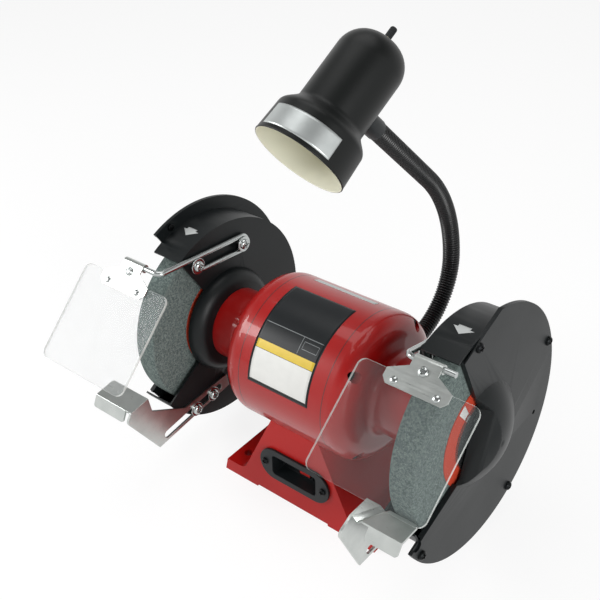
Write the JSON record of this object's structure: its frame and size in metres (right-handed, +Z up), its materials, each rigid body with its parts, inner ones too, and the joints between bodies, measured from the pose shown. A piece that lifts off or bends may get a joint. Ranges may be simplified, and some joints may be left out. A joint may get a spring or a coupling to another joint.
{
  "type": "bench grinder",
  "caption": "Bench grinder: enclosed motor on a flared pedestal, guarded wheels with tool rests and clear eye shields, and a lamp on a ribbed gooseneck.",
  "frame": {"origin": "middle of the four mounting holes, on the bench surface", "axes": "+X along the shaft to the operator's right, +Y to the rear, +Z up"},
  "size_m": [0.4511, 0.3468, 0.4963],
  "materials": {
    "red_enamel": "gloss enamel on cast iron",
    "red_bell": "gloss enamel on cast aluminium",
    "black_enamel": "semi-gloss enamel on pressed steel",
    "black_oxide": "black oxide",
    "zinc": "bright zinc plate",
    "abrasive": "vitrified aluminium oxide",
    "blotter_card": "dyed card",
    "clear_plate": "clear polycarbonate",
    "turned_steel": "turned and ground",
    "lamination": "stacked electrical steel",
    "copper": "enamelled copper wire",
    "black_plastic": "moulded",
    "red_plastic": "moulded",
    "shade_enamel": "black enamel on spun aluminium",
    "black_neck": "black sheath on a steel coil",
    "plated_nut": "plated"
  },
  "bodies": {
    "stand": {"base": "red_enamel", "base_lid": "black_enamel", "cord_gland": "black_plastic", "switch_plate": "black_plastic", "plate_screws": "black_oxide", "switch_body": "black_plastic", "motor_shell": "red_enamel", "end_bell_left": "red_bell", "end_bell_right": "red_bell", "tie_bolts": "black_oxide", "stator_core": "lamination", "stator_winding": "copper", "bearing_outers": "turned_steel", "guard_drum_left": "black_enamel", "guard_drum_right": "black_enamel", "guard_cover_left": "black_enamel", "guard_cover_right": "black_enamel", "cover_screws": "black_oxide", "rest_bolts": "zinc", "arm_bolts": "zinc", "lamp_mount": "black_neck"},
    "spindle": {"shaft": "turned_steel", "rotor_core": "lamination", "bearing_inners": "turned_steel", "wheel_left": "abrasive", "wheel_right": "abrasive", "blotters": "blotter_card", "wheel_flanges": "turned_steel", "arbor_nuts": "turned_steel"},
    "rocker": {"rocker": "red_plastic"},
    "rest_left": {"tool_rest_left": "zinc"},
    "arm_left": {"shield_arm_left": "zinc"},
    "shield_left": {"shield_strap_left": "zinc", "clamp_screw_left": "zinc", "shield_rivets_left": "zinc", "eye_shield_left": "clear_plate"},
    "rest_right": {"tool_rest_right": "zinc"},
    "arm_right": {"shield_arm_right": "zinc"},
    "shield_right": {"shield_strap_right": "zinc", "clamp_screw_right": "zinc", "shield_rivets_right": "zinc", "eye_shield_right": "clear_plate"},
    "neck_low": {"neck_lower": "black_neck"},
    "neck_mid": {"neck_middle": "black_neck"},
    "neck_high": {"neck_upper": "black_neck"},
    "lamp": {"shade_ferrule": "black_neck", "shade": "shade_enamel", "bulb_holder": "black_plastic", "lamp_nut": "plated_nut"},
    "knob": {"lamp_knob": "black_plastic"}
  },
  "joints": [
    {"name": "spindle_spin", "type": "hinge", "parent": "stand", "child": "spindle", "pos_m": [0, 0, 0.15], "axis": [1, 0, 0], "continuous": true},
    {"name": "rocker_tip", "type": "hinge", "parent": "stand", "child": "rocker", "pos_m": [0.004, -0.04575, 0.04467], "axis": [1, 0, 0], "range_deg": [-14, 0]},
    {"name": "rest_slide_left", "type": "slide", "parent": "stand", "child": "rest_left", "axis": [0, -0.9925, -0.1219], "range_m": [-0.026, 0.01]},
    {"name": "rest_slide_right", "type": "slide", "parent": "stand", "child": "rest_right", "axis": [0, -0.9998, 0.0175], "range_m": [-0.015, 0.01]},
    {"name": "arm_slide_left", "type": "slide", "parent": "stand", "child": "arm_left", "axis": [0, -0.9937, 0.1125], "range_m": [-0.018, 0]},
    {"name": "arm_slide_right", "type": "slide", "parent": "stand", "child": "arm_right", "axis": [0, -0.9683, 0.2497], "range_m": [-0.006, 0.0125]},
    {"name": "shield_tilt_left", "type": "hinge", "parent": "arm_left", "child": "shield_left", "pos_m": [-0.1705, -0.08515, 0.25233], "axis": [1, 0, 0], "range_deg": [-100, 15]},
    {"name": "shield_tilt_right", "type": "hinge", "parent": "arm_right", "child": "shield_right", "pos_m": [0.1606, -0.05778, 0.26002], "axis": [1, 0, 0], "range_deg": [-100, 15]},
    {"name": "neck_low_bend", "type": "hinge", "parent": "stand", "child": "neck_low", "pos_m": [0.041, 0.09, 0.1406], "axis": [1, 0, 0], "range_deg": [-15, 15]},
    {"name": "neck_side_bend", "type": "hinge", "parent": "neck_low", "child": "neck_mid", "pos_m": [0.041, 0.1597, 0.2103], "axis": [0, 1, 0], "range_deg": [-20, 20]},
    {"name": "neck_high_bend", "type": "hinge", "parent": "neck_mid", "child": "neck_high", "pos_m": [0.041, 0.11591, 0.31896], "axis": [1, 0, 0], "range_deg": [-20, 20]},
    {"name": "shade_side_bend", "type": "hinge", "parent": "neck_high", "child": "lamp", "pos_m": [0.041, 0.04241, 0.39533], "axis": [0, 0.7206, 0.6934], "range_deg": [-20, 20]},
    {"name": "lamp_switch", "type": "hinge", "parent": "lamp", "child": "knob", "pos_m": [0.04718, 0.04452, 0.48113], "axis": [0.099, 0.8328, 0.5446], "continuous": true}
  ]
}
